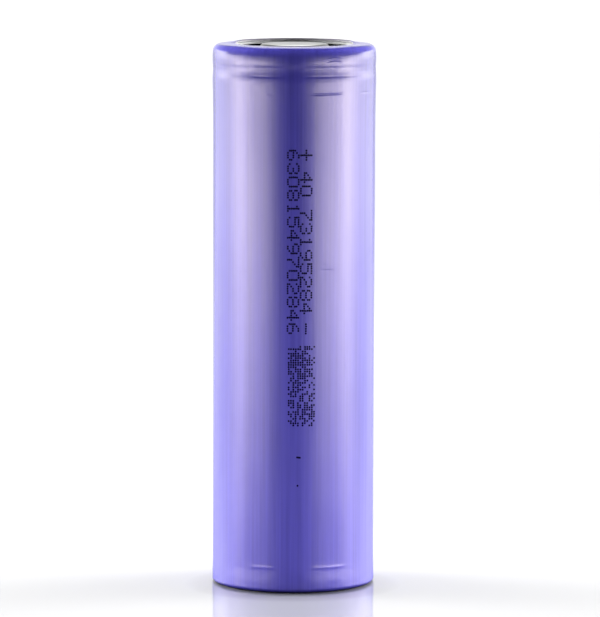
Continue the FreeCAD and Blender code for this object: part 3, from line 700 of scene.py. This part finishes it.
def film_point(kind, value, azimuth, inset):
    """(radius, height) in millimetres on the film, inset inwards from its outside."""
    if kind == "wall":
        pull = crease_depth(value, azimuth) + wrinkle(value, azimuth)
        return wall_radius(value) - pull + ripple(value, azimuth) - inset, value
    turn = math.radians(azimuth)
    if kind == "top":
        rolled = 1.0 if inset == 0.0 else INNER_CURL
        wave = noise.noise(Vector((math.cos(turn) * 2.5, math.sin(turn) * 2.5, 4.0)))
        edge = 1.0 - smooth_step(TOP_OPENING, TOP_OPENING + TOP_REACH, value)
        radius = value + TOP_WAVE * wave * edge
        dip = abs(noise.noise(Vector((math.cos(turn) * 5, math.sin(turn) * 5, value))))
        curl = BACK_CURL * smooth_step(0.0, CURL_FADE, -math.cos(turn)) * edge * rolled
        return radius, TOP - SHOULDER_SINK * (1.0 + dip) + curl - inset
    if kind == "shoulder":
        angle = math.radians(value)
        round_radius = SHOULDER - inset
        blend = smooth_step(0.0, SHOULDER_TURN, value)
        offset = (ripple(WALL[0][1], azimuth) - wrinkle(WALL[0][1], azimuth)) * blend
        radius = SHOULDER_CENTRE + round_radius * math.sin(angle) + offset
        drop = SHOULDER_SINK * (1.0 - blend)
        return radius, TOP - SHOULDER + round_radius * math.cos(angle) - drop
    if kind == "foot":
        angle = math.radians(value)
        centre = WALL[-1][0] - BASE_ROUND
        round_radius = BASE_ROUND - inset
        radius = centre + round_radius * math.cos(angle)
        offset = ripple(BASE_ROUND, azimuth) * (1.0 - smooth_step(0.0, 90.0, value))
        return radius + offset, BASE_ROUND - round_radius * math.sin(angle)
    wave = noise.noise(Vector((math.cos(turn) * 4.0, math.sin(turn) * 4.0, 9.0)))
    edge = 1.0 - smooth_step(BASE_OPENING, BASE_OPENING + BASE_REACH, value)
    return value + BASE_WAVE * wave * edge, inset


def film_place(kind, value, azimuth, inset=0.0, lift=0.0):
    """The point in metres; azimuth 0 is the front, -Y, and it grows towards +X."""
    radius, z = film_point(kind, value, azimuth, inset)
    turn = math.radians(azimuth)
    reach = (radius + lift) * MM
    return (reach * math.sin(turn), -reach * math.cos(turn), z * MM)


def film_sleeve():
    """The shrunk film as one closed skin, with its folds, swells and creases."""
    outline = film_outline()
    rows = [(kind, value, 0.0) for kind, value in outline]
    inner = [row for k, row in enumerate(outline) if row[0] != "wall" or k % INNER_EVERY == 0]
    rows += [(kind, value, FILM) for kind, value in reversed(inner)]
    vertices = [
        film_place(kind, value, k * 360.0 / AROUND, inset)
        for kind, value, inset in rows
        for k in range(AROUND)
    ]
    faces = []
    count = len(rows)
    for row in range(count):
        following = (row + 1) % count
        for k in range(AROUND):
            beside = (k + 1) % AROUND
            faces.append(
                (
                    row * AROUND + k,
                    following * AROUND + k,
                    following * AROUND + beside,
                    row * AROUND + beside,
                )
            )
    obj = add_mesh("film_sleeve", vertices, faces)
    obj.data.materials.append(sleeve_material())
    return obj


sleeve = film_sleeve()
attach(sleeve, "root")
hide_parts("heat_shrink_sleeve")


# ------------------------------------------------------------------- printed marks

# five-by-seven dot patterns, top row first
GLYPHS = {
    "0": ("01110", "10001", "10001", "10001", "10001", "10001", "01110"),
    "1": ("00100", "01100", "00100", "00100", "00100", "00100", "01110"),
    "2": ("01110", "10001", "00001", "00110", "01000", "10000", "11111"),
    "3": ("01110", "10001", "00001", "00110", "00001", "10001", "01110"),
    "4": ("00010", "00110", "01010", "10010", "11111", "00010", "00010"),
    "5": ("11111", "10000", "11110", "00001", "00001", "10001", "01110"),
    "6": ("00110", "01000", "10000", "11110", "10001", "10001", "01110"),
    "7": ("11111", "00001", "00010", "00100", "01000", "01000", "01000"),
    "8": ("01110", "10001", "10001", "01110", "10001", "10001", "01110"),
    "9": ("01110", "10001", "10001", "01111", "00001", "00010", "01100"),
    "+": ("00100", "00100", "00100", "11111", "00100", "00100", "00100"),
    "-": ("00000", "00000", "00000", "11111", "00000", "00000", "00000"),
}
DOT_SIDES = 8
DOT_ACROSS = 0.160
DOT_ALONG = 0.172
# each dot's dome: (share of its size, height above the film)
DOME = ((0.0, 0.006), (0.72, 0.0048), (1.0, -0.01))
GLYPH_ADVANCE = 1.72
GLYPH_ROW = 0.232
GLYPH_DOT = 0.295
TEXT_TOP = 57.42
# the sleeve's plain radius, which turns a distance round it into an azimuth
BODY_RADIUS = 10.55
TEXT_JITTER = (0.012, 0.015)
# (where its top row lies, round from the front, ((place in advances, text), ...))
COLUMNS = (
    (2.28, ((0.0, "+"), (1.67, "40"), (4.50, "73195284"), (13.02, "-"))),
    (0.60, ((0.0, "63081549702846"),)),
)
CODE_ROWS = 36
CODE_PLACES = 12
CODE_LEFT = -0.62
CODE_TOP = 32.10
CODE_PITCH = (0.300, 0.2914)
CODE_JITTER = 0.015
CODE_FILL = 0.62
# stray drops of ink below the code
SPECKS = ((0.50, 17.75), (0.68, 17.72), (0.86, 17.70), (0.56, 14.05))


def print_dots():
    """Every dot as (distance round the wall from the front, height), in millimetres."""
    dots = []
    marks = random.Random(7)

    def jitter(size):
        return marks.uniform(-size, size)

    for edge, runs in COLUMNS:
        for start, text in runs:
            for place, letter in enumerate(text):
                top = TEXT_TOP - (start + place) * GLYPH_ADVANCE
                for row, bits in enumerate(GLYPHS[letter]):
                    for dot, bit in enumerate(bits):
                        if bit == "1":
                            across = edge - row * GLYPH_ROW + jitter(TEXT_JITTER[0])
                            z = top - dot * GLYPH_DOT + jitter(TEXT_JITTER[1])
                            dots.append((across, z))
    for row in range(CODE_ROWS):
        for place in range(CODE_PLACES):
            if marks.random() < CODE_FILL:
                across = CODE_LEFT + place * CODE_PITCH[0] + jitter(CODE_JITTER)
                z = CODE_TOP - row * CODE_PITCH[1] + jitter(CODE_JITTER)
                dots.append((across, z))
    dots.extend(SPECKS)
    return dots


def ink_print():
    """The printed marks, each dot a low dome of ink on the film."""
    vertices = []
    faces = []
    for across, z in print_dots():
        start = len(vertices)
        for share, lift in DOME:
            sides = DOT_SIDES if share else 1
            for side in range(sides):
                turn = side * 2 * math.pi / DOT_SIDES
                dot_z = z + share * DOT_ALONG * math.sin(turn)
                dot_across = across + share * DOT_ACROSS * math.cos(turn)
                azimuth = math.degrees(dot_across / BODY_RADIUS)
                vertices.append(film_place("wall", dot_z, azimuth, lift=lift))
        for side in range(DOT_SIDES):
            beside = (side + 1) % DOT_SIDES
            middle = start + 1
            outer = middle + DOT_SIDES
            faces.append((start, middle + side, middle + beside))
            faces.append((middle + side, outer + side, outer + beside, middle + beside))
        # closed underneath, inside the film
        faces.append(tuple(range(len(vertices) - 1, len(vertices) - 1 - DOT_SIDES, -1)))
    obj = add_mesh("ink_print", vertices, faces)
    obj.data.materials.append(ink_material())
    return obj


ink = ink_print()
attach(ink, "root")


# ------------------------------------------------------------------------ studio


# painted contact shadow and painted fall-off of light on the floor, round the foot of the cell
# from under its front edge outwards
SHADE_SHIFT = 3.0 * MM
SHADE_FROM = 7.6 * MM
SHADE_TO = 347.6 * MM
SHADE = (
    (0.0, 0.08),
    (0.0041, 0.28),
    (0.0084, 0.50),
    (0.0131, 0.51),
    (0.0200, 0.62),
    (0.1000, 0.64),
    (0.5000, 0.73),
    (1.0000, 0.85),
)


def floor_material():
    """White acrylic: clean and glossy, with painted shadow right beside the cell and painted
    fall-off of light further out.
    """
    n = Nodes("floor_white")
    near = n.ranged(n.radius((0.0, SHADE_SHIFT, 0.0)), 0.0, 1.0, SHADE_FROM, SHADE_TO)
    n.colour(n.greys(near, SHADE))
    n.set(Roughness=0.05, IOR=1.45)
    return n.material


FLOOR_HALF = 6.0
FLOOR_FRONT = -0.50


def studio_floor():
    corners = [
        (-FLOOR_HALF, FLOOR_FRONT, 0.0),
        (FLOOR_HALF, FLOOR_FRONT, 0.0),
        (FLOOR_HALF, FLOOR_HALF, 0.0),
        (-FLOOR_HALF, FLOOR_HALF, 0.0),
    ]
    obj = add_mesh("studio_floor", corners, [(0, 1, 2, 3)], smooth=False)
    obj.data.materials.append(floor_material())


studio_floor()

WORLD_FRONT = 0.0
WORLD_BACK = 1.60
WORLD_ABOVE = 0.35
# how far back, and how high, a direction points where the light turns from one to the other
BACK_TURN = (0.2, 0.8)
ABOVE_TURN = (0.12, 0.50)


def eased(tree, value, limits, outputs):
    """A smooth change from one output to the other as value crosses the limits."""
    node = tree.nodes.new("ShaderNodeMapRange")
    node.interpolation_type = "SMOOTHSTEP"
    node.inputs["From Min"].default_value, node.inputs["From Max"].default_value = limits
    node.inputs["To Min"].default_value, node.inputs["To Max"].default_value = outputs
    tree.links.new(value, node.inputs["Value"])
    return node.outputs["Result"]


def studio_world():
    """White to the camera; as light, white at the back and dim in front and above."""
    world = bpy.data.worlds.new("studio")
    world.use_nodes = True
    tree = world.node_tree
    tree.nodes.clear()
    output = tree.nodes.new("ShaderNodeOutputWorld")
    mix = tree.nodes.new("ShaderNodeMixShader")
    seen = tree.nodes.new("ShaderNodeBackground")
    seen.inputs["Color"].default_value = (1.0, 1.0, 1.0, 1.0)
    seen.inputs["Strength"].default_value = 1.0
    lit = tree.nodes.new("ShaderNodeBackground")
    path = tree.nodes.new("ShaderNodeLightPath")
    where = tree.nodes.new("ShaderNodeTexCoord")
    split = tree.nodes.new("ShaderNodeSeparateXYZ")
    tree.links.new(where.outputs["Generated"], split.inputs["Vector"])
    back = eased(tree, split.outputs["Y"], BACK_TURN, (WORLD_FRONT, WORLD_BACK))
    above = eased(tree, split.outputs["Z"], ABOVE_TURN, (1.0, WORLD_ABOVE))
    both = tree.nodes.new("ShaderNodeMath")
    both.operation = "MULTIPLY"
    tree.links.new(back, both.inputs[0])
    tree.links.new(above, both.inputs[1])
    tree.links.new(both.outputs["Value"], lit.inputs["Strength"])
    tree.links.new(path.outputs["Is Camera Ray"], mix.inputs["Fac"])
    tree.links.new(lit.outputs["Background"], mix.inputs[1])
    tree.links.new(seen.outputs["Background"], mix.inputs[2])
    tree.links.new(mix.outputs["Shader"], output.inputs["Surface"])
    scene.world = world


def area_light(name, position, target, size, power):
    """A rectangular soft light that the camera itself doesn't see."""
    data = bpy.data.lights.new(name, "AREA")
    data.shape = "RECTANGLE"
    data.size, data.size_y = size
    data.energy = power
    obj = bpy.data.objects.new(name, data)
    scene.collection.objects.link(obj)
    obj.location = position
    facing = Vector(target) - Vector(position)
    obj.rotation_euler = facing.to_track_quat("-Z", "Y").to_euler()
    obj.visible_camera = False
    return obj


# the panels stand in an arc on each side; azimuths in degrees from the front
TENT_RADIUS = 0.45
TENT_START = 15.0
TENT_STEP = 10.0
TENT_PANELS = 14
# (side, sign of x, gain, width of the foot row's rise in front of its peak)
SIDES = (("left", -1.0, 1.0, 31.0), ("right", 1.0, 1.12, 36.0))
# each row's low and high edge, in metres; the strip is taller at the back
FOOT_ROW = (0.002, 0.026)
WAIST_ROW = (0.026, 0.050)
STRIP_ROW = (0.050, 0.095)
STRIP_RISE = 0.045
TALL_ROW = (0.145, 0.600)
# brightness, azimuth of the brightest panel and width, for each bell of light
FOOT_GLOW = 14.0
FOOT_PEAK = 57.0
FOOT_BACK_WIDTH = 60.0
SIDE_BELL = (6.4, 80.0, 14.0)
STRIP_BELL = (4.5, 113.0, 18.0)
TALL_BELL = (11.0, 108.0, 18.0)
STRIP_SHARE = 0.82
DIMMEST = 0.05


def bell(azimuth, glow, peak, width):
    return glow * bump(azimuth, peak, width)


def panel_rows(azimuth, gain, front_width):
    """The rows of panels at an azimuth: (name, (low, high), brightness)."""
    width = front_width if azimuth < FOOT_PEAK else FOOT_BACK_WIDTH
    foot = bell(azimuth, FOOT_GLOW, FOOT_PEAK, width) * gain
    foot *= 0.35 + 0.65 * smooth_step(10.0, 36.0, azimuth)
    foot += bell(azimuth, *SIDE_BELL) * gain
    # the waist and the strip are shares of the foot row that grow away from the front
    waist = 0.15 + 0.35 * smooth_step(22.0, 48.0, azimuth)
    waist += 0.32 * smooth_step(50.0, 90.0, azimuth)
    strip = foot * (0.22 + 0.78 * smooth_step(60.0, 100.0, azimuth))
    strip += bell(azimuth, *STRIP_BELL)
    strip_top = STRIP_ROW[1] + STRIP_RISE * smooth_step(100.0, 125.0, azimuth)
    return (
        ("foot", FOOT_ROW, foot),
        ("waist", WAIST_ROW, foot * waist),
        ("strip", (STRIP_ROW[0], strip_top), strip * STRIP_SHARE),
        ("tall", TALL_ROW, bell(azimuth, *TALL_BELL)),
    )


def side_panels():
    """Soft panels on each side, brightest beside the cell and dim in front. The three low
    rows show in the film's sheen; the tall row only fills its sides."""
    width = 2 * TENT_RADIUS * math.tan(math.radians(TENT_STEP / 2))
    for side, sign, gain, front_width in SIDES:
        for k in range(TENT_PANELS):
            azimuth = TENT_START + k * TENT_STEP
            turn = math.radians(azimuth)
            x = sign * TENT_RADIUS * math.sin(turn)
            y = -TENT_RADIUS * math.cos(turn)
            for name, (low, high), glow in panel_rows(azimuth, gain, front_width):
                if glow < DIMMEST:
                    continue
                middle = (low + high) / 2
                size = (width, high - low)
                panel = area_light(
                    f"{name}_{side}_{azimuth:.0f}",
                    (x, y, middle),
                    (0.0, 0.0, middle),
                    size,
                    glow * math.pi * size[0] * size[1],
                )
                panel.visible_glossy = name != "tall"


BACK_LIGHT_AT = (0.0, 1.3, 1.2)
BACK_LIGHT_AIM = (0.0, 1.3, 0.0)
BACK_LIGHT_SIZE = (0.7, 1.4)
BACK_LIGHT_WATTS = 9.0

studio_world()
side_panels()
area_light("back_floor", BACK_LIGHT_AT, BACK_LIGHT_AIM, BACK_LIGHT_SIZE, BACK_LIGHT_WATTS)

# ------------------------------------------------------------------------- camera

DISTANCE = 0.6236
ELEVATION = math.radians(6.34)
ROLL = math.radians(0.17)
LENS = 278.13
SENSOR = 36.0
SHIFT = (6.3 / 617, 4.7 / 617)


def add_camera():
    data = bpy.data.cameras.new("camera")
    data.lens = LENS
    data.sensor_width = SENSOR
    data.shift_x, data.shift_y = SHIFT
    data.clip_start = 0.05
    data.clip_end = 40.0
    data.dof.use_dof = False
    obj = bpy.data.objects.new("camera", data)
    scene.collection.objects.link(obj)
    target = Vector((0.0, 0.0, HEIGHT / 2))
    offset = Vector((0.0, -math.cos(ELEVATION), math.sin(ELEVATION))) * DISTANCE
    looking = (-offset).to_track_quat("-Z", "Y").to_matrix().to_4x4()
    obj.matrix_world = (
        Matrix.Translation(target + offset) @ looking @ Matrix.Rotation(ROLL, 4, "Z")
    )
    scene.camera = obj


add_camera()
